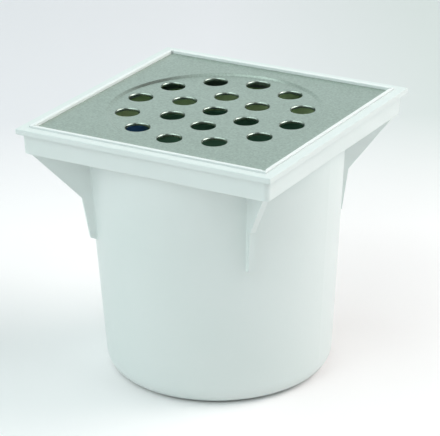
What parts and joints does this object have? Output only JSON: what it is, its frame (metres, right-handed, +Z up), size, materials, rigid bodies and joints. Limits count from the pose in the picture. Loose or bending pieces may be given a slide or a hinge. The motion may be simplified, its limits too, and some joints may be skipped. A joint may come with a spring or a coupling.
{
  "type": "gully trap",
  "caption": "Square-headed floor gully: tapered drum with corner gussets and a rear outlet spigot, perforated steel grate in a frame, and a lift-out dip-tube water trap.",
  "frame": {"origin": "centre of the drum's flat base, on the floor that the gully stands on", "axes": "+Z up along the drum's axis, +Y to the rear along the outlet spigot, +X to the right seen from the front"},
  "size_m": [0.15, 0.167, 0.145],
  "materials": {
    "white_pvc": "moulded white PVC with a soft sheen",
    "frame_pvc": "moulded white PVC with a soft sheen",
    "satin_steel": "satin stainless sheet with a fine grain",
    "blue_plastic": "moulded dark blue plastic",
    "seal_rubber": "black rubber"
  },
  "bodies": {
    "root": {"body": "white_pvc", "grate_frame": "frame_pvc", "grate": "satin_steel", "trap_insert": "blue_plastic", "insert_seal": "seal_rubber"}
  },
  "joints": []
}
